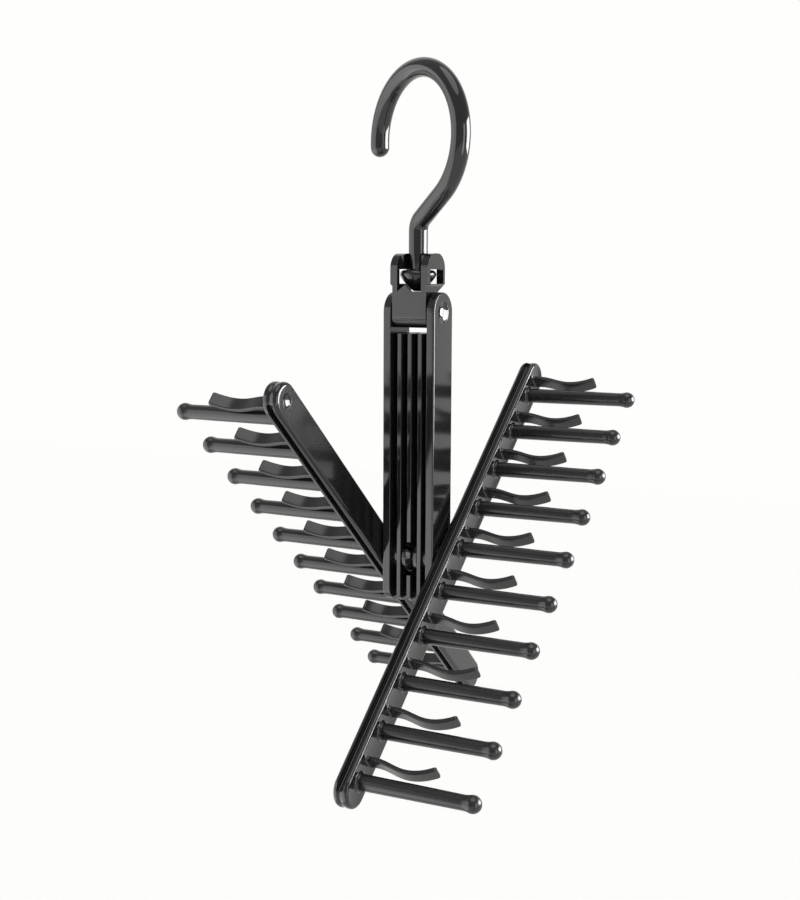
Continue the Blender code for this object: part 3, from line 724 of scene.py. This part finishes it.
@dataclass
class Connector:
    """The tilting block and the hollow head that holds the hook's foot."""

    chain: Chain
    half_width: float = 0.0092
    front: float = 0.0083
    back: float = 0.0075
    top_round: float = 0.0065
    roof: float = 0.0068
    roof_set_back: float = 0.0031
    slot: float = 0.00444
    cheek_inner: float = 0.0058
    cavity: float = 0.0095
    window_height: float = 0.0062
    window_depth: float = 0.0061
    lip: float = 0.0011
    lip_height: float = 0.0029
    lip_peak: float = -0.0019
    lip_right: float = 0.0010
    block_half_width: float = 0.0082
    block_top: float = 0.0111
    block_bottom: float = 0.0067
    block_corner: float = 0.0050
    waist_back: float = 0.0028
    waist_height: float = 0.0087
    knuckle: float = 0.0080
    knuckle_from: float = -50.0
    knuckle_to: float = 56.0
    outer_round: float = 0.0008
    inner_round: float = 0.0004

    def outline(self) -> Outline:
        """Return the side outline, measured from the pin.

        Returns:
            The outline's points in Y and Z.
        """
        top = self.chain.roof_top - self.chain.pin
        points = arc((-self.front + self.top_round, top - self.top_round), self.top_round, 90, 180, 16)
        points += arc((-self.front + self.block_corner, -self.block_bottom + self.block_corner),
                      self.block_corner, 180, 270, 14)
        points += arc((0, 0), self.knuckle, self.knuckle_from, self.knuckle_to, 24)
        points += [(self.waist_back, self.waist_height), (self.back, self.block_top)]
        points += arc((self.back - self.top_round, top - self.top_round), self.top_round, 0, 90, 16)
        return points

    def dress(self, finish: Finish) -> None:
        """Carve the block and hand it over.

        Args:
            finish: The finish that the piece gets.
        """
        top = self.chain.roof_top - self.chain.pin
        under = top - self.roof
        floor = under - self.cavity
        wide = self.half_width
        deep = self.front + MARGIN
        inner = self.cheek_inner
        body = Bench.along_x("connector_head", self.outline(), -wide, wide)
        step_in = wide - self.block_half_width
        low = -self.block_bottom - MARGIN
        for sign in (-1, 1):
            flank = [(sign * self.block_half_width, low), (sign * (wide + MARGIN), low),
                     (sign * (wide + MARGIN), self.block_top + step_in + MARGIN),
                     (sign * self.block_half_width, self.block_top)]
            Bench.carve(body, Bench.along_y("flank", flank, -deep, deep))
        Bench.carve(body, Bench.box("cavity", (-inner, self.lip - self.front, floor), (inner, deep, under)))
        mouth = [(-inner, floor), (self.lip_peak, floor + self.lip_height), (self.lip_right, floor),
                 (inner, floor), (inner, under), (-inner, under)]
        Bench.carve(body, Bench.along_y("mouth", mouth, -deep, 1.5 * self.lip - self.front))
        Bench.carve(body, Bench.box("windows", (-deep - wide, -self.window_depth, under - self.window_height),
                                    (deep + wide, self.window_depth, under)))
        high = top + MARGIN
        roof_front = self.roof_set_back - self.front
        Bench.carve(body, Bench.box("roof_front", (-inner, -deep, under - MARGIN), (inner, roof_front, high)))
        slot = [(-self.slot, -deep), (self.slot, -deep)] + arc((0, 0), self.slot, 0, 180, 28)
        Bench.carve(body, Bench.along_z("slot", slot, under - MARGIN, high))

        def share(edge: BMEdge) -> float:
            """Give the flanks' edges the full rounding, outside the windows.

            Args:
                edge: One sharp edge of the block.

            Returns:
                The edge's share of the rounding.
            """
            middle = (edge.verts[0].co + edge.verts[1].co) / 2
            flank = min(abs(vert.co.x) for vert in edge.verts) > self.block_half_width - NEAR
            in_window = (abs(middle.y) < self.window_depth + NEAR
                         and under - self.window_height - NEAR < middle.z < under + NEAR)
            return 1.0 if flank and not in_window else self.inner_round / self.outer_round

        Bench.soften(body, self.outer_round, 4, share)
        Bench.hand_over(body, finish.material(), "connector", ["connector"],
                        Matrix.Translation((0, 0, self.chain.pin)))


@dataclass
class HingePin:
    """The steel pin through the column's dished ears."""

    chain: Chain
    radius: float = 0.00205
    end: float = 0.0120
    chamfer: float = 0.0003

    def dress(self, finish: Finish) -> None:
        """Turn the pin and hand it over.

        Args:
            finish: The finish that the piece gets.
        """
        body, face = self.end - self.chamfer, self.radius - self.chamfer
        edge = arc((body, face), self.chamfer, 90, 0, 4)
        stations = [(-self.end, 0.0)] + [(-a, b) for a, b in reversed(edge)] + edge + [(self.end, 0.0)]
        pin = Bench.turned("pin_shaft", stations)
        Bench.hand_over(pin, finish.material(), "column", ["hinge_pin"],
                        Matrix.Translation((0, 0, self.chain.pin)), "pin_steel")


@dataclass
class Column:
    """The ribbed column with its two ears."""

    chain: Chain
    half_width: float = 0.0125
    half_depth: float = 0.00865
    wall_inner: float = 0.0088
    back_wall: float = 0.0020
    bottom_round: float = 0.0060
    rib: float = 0.0020
    rib_spacing: float = 0.0050
    rib_set_back: float = 0.00115
    rib_top: float = -0.0090
    bottom: float = -0.1272
    stud_hole: float = 0.0065
    barb_room: float = 0.0074
    notch_below: float = 0.0074
    notch_above: float = 0.0075
    notch_sink: float = 0.0003
    barb_play: float = 0.00015
    pin_hole: float = 0.00235
    dish: float = 0.0048
    dish_depth: float = 0.0012
    outer_round: float = 0.0010
    inner_round: float = 0.0004

    def outline(self) -> Outline:
        """Return the side outline, measured from the pin.

        Returns:
            The outline's points in Y and Z.
        """
        deep, corner = self.half_depth, self.bottom_round
        points = arc((0, 0), deep, 0, 180, 56)
        points += arc((corner - deep, self.bottom + corner), corner, 180, 270, 16)
        points += arc((deep - corner, self.bottom + corner), corner, 270, 360, 16)
        return points

    def comb(self) -> Outline:
        """Return the channels' outline in X and Y, with the three ribs left out.

        Returns:
            The outline's points in X and Y.
        """
        front = -self.half_depth - MARGIN
        back = self.half_depth - self.back_wall
        inner = self.wall_inner
        points = [(-inner, back), (-inner, front), (inner, front), (inner, back)]
        for place in (self.rib_spacing, 0, -self.rib_spacing):
            low, high = place - self.rib / 2, place + self.rib / 2
            rib_front = self.rib_set_back - self.half_depth
            points += [(high, back), (high, rib_front), (low, rib_front), (low, back)]
        return points

    def dress(self, finish: Finish) -> None:
        """Carve the column and hand it over.

        Args:
            finish: The finish that the piece gets.
        """
        half, deep, inner = self.half_width, self.half_depth, self.wall_inner
        body = Bench.along_x("column_body", self.outline(), -half, half)
        high = deep + MARGIN
        Bench.carve(body, Bench.box("fork", (-inner, -high, self.rib_top), (inner, high, high)))
        Bench.carve(body, Bench.along_z("channels", self.comb(), self.bottom - MARGIN,
                                        self.rib_top + MARGIN))

        def share(edge: BMEdge) -> float:
            """Give the side walls' edges the full rounding."""
            on_wall = min(abs(vert.co.x) for vert in edge.verts) > half - NEAR
            return 1.0 if on_wall else self.inner_round / self.outer_round

        Bench.soften(body, self.outer_round, 4, share)
        pivot = self.chain.pivot - self.chain.pin
        rib_face = self.rib_spacing - self.rib
        for sign in (-1, 1):
            hole = Bench.drum(rib_face - MARGIN, half + MARGIN, self.stud_hole)
            Bench.carve(body, Bench.turned("stud_hole", hole, sign=sign, height=pivot))
        back = deep - self.back_wall + self.notch_sink
        Bench.carve(body, Bench.box("notch", (-rib_face, -high, pivot - self.notch_below),
                                    (rib_face, back, pivot + self.notch_above)))
        reach = self.rib_spacing - self.rib / 2 - self.barb_play
        room = Bench.drum(-reach, reach, self.barb_room)
        Bench.carve(body, Bench.turned("barb_room", room, height=pivot))
        for sign in (-1, 1):
            dish = Bench.dish(half, self.dish, self.dish_depth)
            Bench.carve(body, Bench.turned("dish", dish, 96, sign))
        bore = Bench.drum(-half - MARGIN, half + MARGIN, self.pin_hole)
        Bench.carve(body, Bench.turned("pin_bore", bore))
        Bench.hand_over(body, finish.material(), "column", ["column"],
                        Matrix.Translation((0, 0, self.chain.pin)))


@dataclass
class Arm:
    """One folding arm: its grooved bar, stud, pegs and spring tongues."""

    chain: Chain
    side: Side
    inner: float = 0.0130
    thickness: float = 0.0070
    half_width: float = 0.0074
    top: float = 0.1193
    bottom: float = 0.1223
    plate: float = 0.0020
    groove: float = 0.0030
    groove_end: float = 0.0030
    valley: float = 0.00035
    inner_round: float = 0.0018
    outer_round: float = 0.0012
    groove_edge: float = 0.0003
    groove_corner: float = 0.0004
    sink: float = 0.00036
    dimple: float = 0.0032
    dimple_depth: float = 0.0009
    peg_count: int = 10
    peg_pitch: float = 0.0235
    peg_first: float = 0.1005
    peg_length: float = 0.0490
    peg_root: float = 0.00335
    peg_tip: float = 0.00305
    peg_ball: float = 0.0036
    peg_fillet: float = 0.0015
    peg_sink: float = 0.0004
    peg_sides: int = 40
    ball_neck: float = 0.0040
    ball_joint: float = math.radians(72)
    tongue_width: float = 0.0058
    tongue_thickness: float = 0.0019
    tongue_root: float = 0.0093
    tongue_dip: float = 0.0066
    tongue_rise: float = 0.0104
    tongue_length: float = 0.0305
    tongue_dip_reach: float = 0.0185
    tongue_shoulder: float = 0.0030
    tongue_fillet: float = 0.0013
    tongue_swell: float = 0.0005
    tongue_sink: float = 0.00030
    tongue_root_steps: int = 9
    tongue_corner: float = 0.00045
    corner_growth: float = 1.2
    corner_most: float = 0.9
    tongue_end: float = 0.0011
    tongue_lip: float = 0.0006
    stud_radius: float = 0.0062
    stud_bore: float = 0.0042
    stud_tip: float = 0.00015
    stud_end: float = 0.0140
    barb: float = 0.0009
    barb_start: float = 0.0020
    barb_end: float = 0.0037
    barb_edge: float = 0.0002
    stud_split: float = 0.0018
    stud_split_length: float = 0.0075

    @property
    def place(self) -> Matrix:
        """Return where the arm's own frame lies in the row frame."""
        turn = Matrix.Rotation(-self.side.value * self.chain.arm_turn, 4, "X")
        return Matrix.Translation((0, 0, self.chain.pivot)) @ turn

    @property
    def body(self) -> str:
        """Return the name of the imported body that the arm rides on."""
        return f"{self.side.label}_arm"

    @property
    def outer(self) -> float:
        """Return the distance of the pegs' plate face from the middle."""
        return self.inner + self.thickness

    def stadium(self, place: float, inset: float) -> Ring:
        """Return the bar's round-ended outline at one X place.

        Args:
            place: Distance from the middle along X.
            inset: How far the outline lies inside the bar's.

        Returns:
            The outline's points in the arm's frame.
        """
        radius = self.half_width - inset
        points = arc((0, self.top - self.half_width), radius, 0, 180, 44)
        points += arc((0, self.half_width - self.bottom), radius, 180, 360, 44)
        return [(self.side.value * place, a, b) for a, b in points]

    def bar_rings(self) -> list[Ring]:
        """Return the bar's outlines, from the inner face over the valley to the outer face's dip.

        Returns:
            The bar's outlines in order.
        """
        inner, outer = quarter(self.inner_round, 8), quarter(self.outer_round, 8)
        flat = self.half_width - self.outer_round
        sink = [(self.sink * (1 - (1 - share) ** 2), self.half_width - flat * (1 - share))
                for share in shares(12)[:-1]]
        width = self.thickness - 2 * self.plate
        valley = [(self.plate + width * share, self.valley * math.sin(math.pi * share) ** 2)
                  for share in shares(10)]
        rings = [self.stadium(self.inner + depth, inset) for depth, inset in inner + valley]
        rings += [self.stadium(self.outer - depth, inset) for depth, inset in reversed(outer)]
        rings += [self.stadium(self.outer - depth, inset) for depth, inset in sink[1:]]
        return rings

    def dress_bar(self, material: Material) -> None:
        """Loft the bar, cut its side grooves, press in its dimple and hand it over.

        Args:
            material: The arm's material.
        """
        bar = Bench.loft(f"{self.side.label}_bar", self.bar_rings())
        sign = self.side.value
        walls = sorted((sign * (self.inner + self.plate), sign * (self.outer - self.plate)))
        for way in (-1, 1):
            reach = sorted((way * (self.half_width - self.groove), way * (self.half_width + MARGIN)))
            groove = Bench.box("groove", (walls[0], reach[0], self.groove_end - self.bottom),
                               (walls[1], reach[1], self.top - self.groove_end))
            Bench.soften(groove, self.groove_corner)
            Bench.carve(bar, groove)

        def share(edge: BMEdge) -> float:
            """Round only the grooves' mouths.

            Args:
                edge: One sharp edge of the bar.

            Returns:
                The edge's share of the rounding.
            """
            middle = (edge.verts[0].co + edge.verts[1].co) / 2
            on_wall = min(abs(abs(middle.x) - abs(wall)) for wall in walls) < NEAR
            return 1.0 if on_wall else 0.0

        Bench.soften(bar, self.groove_edge, 3, share)
        stations = Bench.dish(self.inner, self.dimple, -self.dimple_depth)
        Bench.carve(bar, Bench.turned("dimple", stations, 64, sign, self.top - self.half_width))
        Bench.hand_over(bar, material, self.body, [f"{self.side.label}_arm"], self.place)

    def dress_stud(self, material: Material) -> None:
        """Turn the split snap stud and hand it over.

        Args:
            material: The arm's material.
        """
        sign, radius, edge = self.side.value, self.stud_radius, self.barb_edge
        full = radius + self.barb
        solid = [(self.stud_tip, 0.0), (self.stud_tip, radius - self.barb),
                 (self.barb_start - edge / 2, full - edge / 2), (self.barb_start + edge / 2, full),
                 (self.barb_end - edge, full), (self.barb_end, full - edge), (self.barb_end, radius),
                 (self.stud_end, radius), (self.stud_end, 0.0)]
        stud = Bench.turned(f"{self.side.label}_snap_stud", solid, 64, sign)
        bore = Bench.drum(-MARGIN, self.inner, self.stud_bore)
        Bench.carve(stud, Bench.turned("bore", bore, 48, sign))
        reach = full + MARGIN
        ends = sorted((-sign * MARGIN, sign * self.stud_split_length))
        Bench.carve(stud, Bench.box("split", (ends[0], -self.stud_split / 2, -reach),
                                    (ends[1], self.stud_split / 2, reach)))
        Bench.hand_over(stud, material, self.body, [f"{self.side.label}_stud"], self.place)

    def peg_path(self) -> list[tuple[Vector, float]]:
        """Return the peg's middle line with its radius, from the plate outwards.

        Returns:
            Points along the middle line, each with the peg's radius there.
        """
        sign, face, fillet = self.side.value, self.outer, self.peg_fillet
        root = -self.sink
        stations = [(root - self.peg_sink, POINT), (root - self.peg_sink, self.peg_root + fillet)]
        stations += [(root + run, self.peg_root + inset) for run, inset in quarter(fillet, 12)]
        waist = self.peg_length - self.ball_neck
        low = self.peg_root + (self.peg_tip - self.peg_root) * waist / self.peg_length
        stations += [(fillet + (waist - fillet) * share, self.peg_root + (low - self.peg_root) * share)
                     for share in (0.1, 0.4, 0.7, 1.0)]
        joint = self.peg_length - self.peg_ball * math.cos(self.ball_joint)
        swell = self.peg_ball * math.sin(self.ball_joint) - low
        stations += [(waist + (joint - waist) * share, low + swell * share ** 2) for share in shares(8)[1:]]
        for share in shares(20)[1:]:
            t = self.ball_joint + (math.pi - self.ball_joint) * share
            stations.append((self.peg_length - self.peg_ball * math.cos(t),
                             max(self.peg_ball * math.sin(t), POINT)))
        return [(Vector((sign * (face + a), 0, 0)), b) for a, b in stations]

    def dress_pegs(self, finish: Finish) -> None:
        """Sweep the row of pegs and hand it over.

        Args:
            finish: The finish of the pegs.
        """
        material = finish.material()
        sweep = RoundSweep(f"{self.side.label.capitalize()} peg row", repeats=True)
        pegs = sweep.sweep(
            f"{self.side.label}_peg_row", self.peg_path(),
            {"Sides": self.peg_sides, "Finish": material, "Count": self.peg_count,
             "First Place": (0.0, 0.0, self.peg_first), "Step": (0.0, 0.0, -self.peg_pitch)})
        nodes = [f"{self.side.label}_peg_{number + 1:02d}" for number in range(self.peg_count)]
        Bench.hand_over(pegs, material, self.body, nodes, self.place)

    def tongue_line(self) -> list[tuple[float, float, float, float]]:
        """Return (reach, height, half width, half thickness) along the leaf.

        Returns:
            The leaf's stations from the plate to the tip.
        """
        wide, thick, fillet = self.tongue_width / 2, self.tongue_thickness / 2, self.tongue_fillet
        line = []
        for run, inset in quarter(fillet, self.tongue_root_steps):
            line.append((run - self.tongue_sink, self.tongue_root, wide + inset,
                         thick + self.tongue_swell * inset / fillet))
        fall = self.tongue_root - self.tongue_dip
        run = self.tongue_dip_reach - self.tongue_shoulder
        for share in shares(16)[:-1]:
            drop = fall * (1 - math.cos(math.pi * share)) / 2
            line.append((self.tongue_shoulder + run * share, self.tongue_root - drop, wide, thick))
        rise = self.tongue_rise - self.tongue_dip
        run = self.tongue_length - self.tongue_dip_reach
        for share in shares(12):
            height = self.tongue_dip + rise * share ** 2
            line.append((self.tongue_dip_reach + run * share, height, wide, thick))
        return line

    def tongue_rings(self) -> list[Ring]:
        """Return the leaf's rounded sections, from the plate to the tip.

        Returns:
            The sections' points in the arm's frame, with the peg's axis at Z 0.
        """
        line = self.tongue_line()
        rings: list[Ring] = []
        last = len(line) - 1
        for index, (reach, lift, wide, thick) in enumerate(line):
            before, after = line[max(index - 1, 0)], line[min(index + 1, last)]
            slope = Vector((after[0] - before[0], after[1] - before[1])).normalized()
            if index <= self.tongue_root_steps:
                slope = Vector((1, 0))
            rings.append(self.tongue_section(Vector((reach, lift)), slope, wide, thick))
        reach, lift, wide, thick = line[-1]
        slope = Vector((reach - line[-2][0], lift - line[-2][1])).normalized()
        del rings[-1]
        for curl, short in quarter(1.0, 6):
            centre = Vector((reach, lift)) - slope * self.tongue_end * short
            rings.append(self.tongue_section(
                centre, slope, wide - self.tongue_end * curl, thick - self.tongue_lip * curl))
        return rings

    def tongue_section(self, centre: Vector, slope: Vector, wide: float, thick: float) -> Ring:
        """Return one rounded rectangle across the leaf.

        Args:
            centre: Reach and height of the section's middle.
            slope: Direction of the leaf there, in reach and height.
            wide: Half the leaf's width.
            thick: Half its thickness.

        Returns:
            The section's points in the arm's frame, with the peg's axis at Z 0.
        """
        normal = Vector((-slope[1], slope[0]))
        corner = min(self.tongue_corner + (thick - self.tongue_thickness / 2) * self.corner_growth,
                     thick * self.corner_most)
        points: Outline = []
        for a, b, start in ((wide, thick, 0), (-wide, thick, 90), (-wide, -thick, 180), (wide, -thick, 270)):
            middle = (a - math.copysign(corner, a), b - math.copysign(corner, b))
            points += arc(middle, corner, start, start + 90, 4)
        ring: Ring = []
        for across, offset in points:
            along = centre[0] + normal[0] * offset
            ring.append((self.side.value * (self.outer + along), across, centre[1] + normal[1] * offset))
        return ring

    def dress_tongues(self, finish: Finish) -> None:
        """Loft each spring tongue and hand it over to its own body.

        Args:
            finish: The finish of the tongues.
        """
        material = finish.material()
        for number in range(self.peg_count):
            name = f"{self.side.label}_tongue_{number + 1:02d}"
            leaf = Bench.loft(f"{name}_leaf", self.tongue_rings())
            height = self.peg_first - self.peg_pitch * number
            place = self.place @ Matrix.Translation((0, 0, height))
            Bench.hand_over(leaf, material, name, [name], place)

    def dress(self, bar_finish: Finish, peg_finish: Finish) -> None:
        """Build the whole arm.

        Args:
            bar_finish: The finish of the bar and the stud.
            peg_finish: The finish of the pegs and the tongues.
        """
        material = bar_finish.material()
        self.dress_bar(material)
        self.dress_stud(material)
        self.dress_pegs(peg_finish)
        self.dress_tongues(peg_finish)


# Studio


@dataclass(frozen=True)
class SoftBox:
    """One rectangular studio lamp, aimed at the rack's middle, that shows in the gloss."""

    name: str
    azimuth: float
    elevation: float
    distance: float
    width: float
    height: float
    radiance: float

    def light(self, target: Vector) -> None:
        """Place the lamp.

        Args:
            target: The point that the lamp faces.
        """
        lamp = bpy.data.lights.new(self.name, "AREA")
        lamp.shape = "RECTANGLE"
        lamp.size = self.width
        lamp.size_y = self.height
        # An area lamp's radiance is its power over pi and its area.
        lamp.energy = self.radiance * math.pi * self.width * self.height
        item = put(self.name, lamp)
        turn, lift = math.radians(self.azimuth), math.radians(self.elevation)
        toward = Vector((math.sin(turn) * math.cos(lift), -math.cos(turn) * math.cos(lift), math.sin(lift)))
        item.location = target + toward * self.distance
        item.rotation_euler = toward.to_track_quat("Z", "Y").to_euler()
        # The soft boxes only shape the gloss, so that colours keep the room's plain level.
        item.visible_diffuse = False


@dataclass(frozen=True)
class Studio:
    """Pale floor, a white room that shows dimmer in gloss in front of the rack, lamps and the camera."""

    floor_height: float = -0.95
    floor_reach: float = 5.0
    white: str = "#fefefc"
    ambient: float = 0.70
    overhead: float = 0.94
    overhead_angle: float = math.radians(50)
    overhead_turn: tuple[float, float, float] = (math.radians(10), math.radians(6), 0.0)
    front_share: float = 0.42
    fade_start: float = 0.50
    fade_end: float = 0.57
    target: tuple[float, float, float] = (0.0, 0.0, -0.17)
    camera_distance: float = 0.62535
    camera_azimuth: float = math.radians(28.22)
    camera_height: float = -0.08439
    camera_pitch: float = math.radians(-6.88)
    camera_roll: float = math.radians(0.24)
    camera_pan: float = math.radians(-0.69)
    lens_mm: float = 57.38
    sensor_mm: float = 36.0
    clip_start: float = 0.01

    def seen_rays(self, tree: NodeTree) -> NodeSocket:
        """Return a socket that is 1 for camera, glossy and transmission rays.

        Args:
            tree: The room's node tree.

        Returns:
            The socket.
        """
        path = add_node(tree, "ShaderNodeLightPath")
        total = add_node(
            tree, "ShaderNodeMath", {"operation": "ADD"},
            {0: path.outputs["Is Camera Ray"], 1: path.outputs["Is Glossy Ray"]})
        return add_node(
            tree, "ShaderNodeMath", {"operation": "ADD", "use_clamp": True},
            {0: total.outputs[0], 1: path.outputs["Is Transmission Ray"]}).outputs[0]

    def room_level(self, tree: NodeTree) -> NodeSocket:
        """Return the room's brightness: white to the camera, and in gloss dimmer in front of the rack.

        Args:
            tree: The room's node tree.

        Returns:
            The socket that gives it.
        """
        path = add_node(tree, "ShaderNodeLightPath")
        behind = (-math.sin(self.camera_azimuth), math.cos(self.camera_azimuth), 0.0)
        toward = add_node(
            tree, "ShaderNodeVectorMath", {"operation": "DOT_PRODUCT"},
            {0: add_node(tree, "ShaderNodeTexCoord").outputs["Generated"], 1: behind})
        level = add_node(
            tree, "ShaderNodeMapRange", {"interpolation_type": "SMOOTHSTEP"},
            {"Value": toward.outputs["Value"], "From Min": self.fade_start, "From Max": self.fade_end,
             "To Min": self.front_share, "To Max": 1.0})
        return add_node(
            tree, "ShaderNodeMath", {"operation": "MAXIMUM"},
            {0: path.outputs["Is Camera Ray"], 1: level.outputs["Result"]}).outputs[0]

    def build_world(self) -> None:
        """Set the pale room that the camera, gloss and clear stuff see, and its even light."""
        world = bpy.data.worlds.new("studio_room")
        bpy.context.scene.world = world
        world.use_nodes = True
        tree = world.node_tree
        tree.nodes.clear()
        seen = add_node(
            tree, "ShaderNodeBackground", None,
            {"Color": linear(self.white), "Strength": self.room_level(tree)})
        lighting = add_node(
            tree, "ShaderNodeBackground", None, {"Color": linear("#ffffff"), "Strength": self.ambient})
        mix = add_node(
            tree, "ShaderNodeMixShader", None,
            {0: self.seen_rays(tree), 1: lighting.outputs[0], 2: seen.outputs[0]})
        add_node(tree, "ShaderNodeOutputWorld", None, {"Surface": mix.outputs[0]})

    def build_floor(self) -> None:
        """Lay the pale floor, which takes the rack's soft shadow."""
        reach = self.floor_reach
        corners = [(-reach, -reach), (reach, -reach), (reach, reach), (-reach, reach)]
        mesh = bpy.data.meshes.new("floor")
        mesh.from_pydata([(a, b, self.floor_height) for a, b in corners], [], [(0, 1, 2, 3)])
        floor = put("floor", mesh)
        material, tree = blank_material("pale_floor")
        matt = add_node(tree, "ShaderNodeBsdfDiffuse", None, {"Color": linear(self.white)})
        add_node(tree, "ShaderNodeOutputMaterial", None, {"Surface": matt.outputs[0]})
        mesh.materials.append(material)

    def build_lamps(self) -> None:
        """Hang the overhead light and the soft boxes at the right and the left."""
        sun = bpy.data.lights.new("overhead", "SUN")
        sun.energy = self.overhead
        sun.angle = self.overhead_angle
        put("overhead", sun).rotation_euler = self.overhead_turn
        target = Vector(self.target)
        for box in (
            SoftBox("right_box", azimuth=121, elevation=9, distance=1.3,
                    width=1.0, height=0.70, radiance=17.0),
            SoftBox("right_fade", azimuth=66, elevation=2, distance=1.3,
                    width=0.41, height=0.92, radiance=3.0),
            SoftBox("left_box", azimuth=-57, elevation=-16, distance=0.75,
                    width=0.98, height=1.45, radiance=1.7),
        ):
            box.light(target)

    def build_camera(self) -> None:
        """Set the camera at the photograph's viewing angle."""
        turn = self.camera_azimuth
        ahead = Vector((-math.sin(turn), math.cos(turn), 0))
        right = Vector((math.cos(turn), math.sin(turn), 0))
        up = Vector((0, 0, 1))
        place = -ahead * self.camera_distance + up * self.camera_height
        pan, pitch, roll = self.camera_pan, self.camera_pitch, self.camera_roll
        ahead, right = (ahead * math.cos(pan) + right * math.sin(pan),
                        right * math.cos(pan) - ahead * math.sin(pan))
        ahead, up = (ahead * math.cos(pitch) + up * math.sin(pitch),
                     up * math.cos(pitch) - ahead * math.sin(pitch))
        right, up = (right * math.cos(roll) + up * math.sin(roll),
                     up * math.cos(roll) - right * math.sin(roll))
        data = bpy.data.cameras.new("camera")
        data.lens = self.lens_mm
        data.sensor_width = self.sensor_mm
        data.clip_start = self.clip_start
        camera = put("camera", data)
        camera.matrix_world = Matrix((
            (right.x, up.x, -ahead.x, place.x),
            (right.y, up.y, -ahead.y, place.y),
            (right.z, up.z, -ahead.z, place.z),
            (0, 0, 0, 1)))
        bpy.context.scene.camera = camera

    def build(self) -> None:
        """Build the whole studio."""
        bpy.context.scene.view_settings.view_transform = "Standard"
        self.build_world()
        self.build_floor()
        self.build_lamps()
        self.build_camera()


def main() -> None:
    """Load the frame, dress every piece and set the studio."""
    logging.basicConfig(level=logging.INFO, format="%(name)s: %(message)s")
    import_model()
    chain = Chain()
    finish = GlossAbs("black_abs_gloss")
    Hook(chain).dress(GlossAbs("black_abs_hook", roughness_low=0.08, roughness_high=0.12))
    Connector(chain).dress(finish)
    HingePin(chain).dress(GroundSteel("ground_steel_pin"))
    Column(chain).dress(finish)
    worn = GlossAbs("black_abs_pegs", roughness_low=0.20, roughness_high=0.27)
    for side in Side:
        Arm(chain, side).dress(finish, worn)
    Studio().build()


if __name__ == "__main__":
    main()
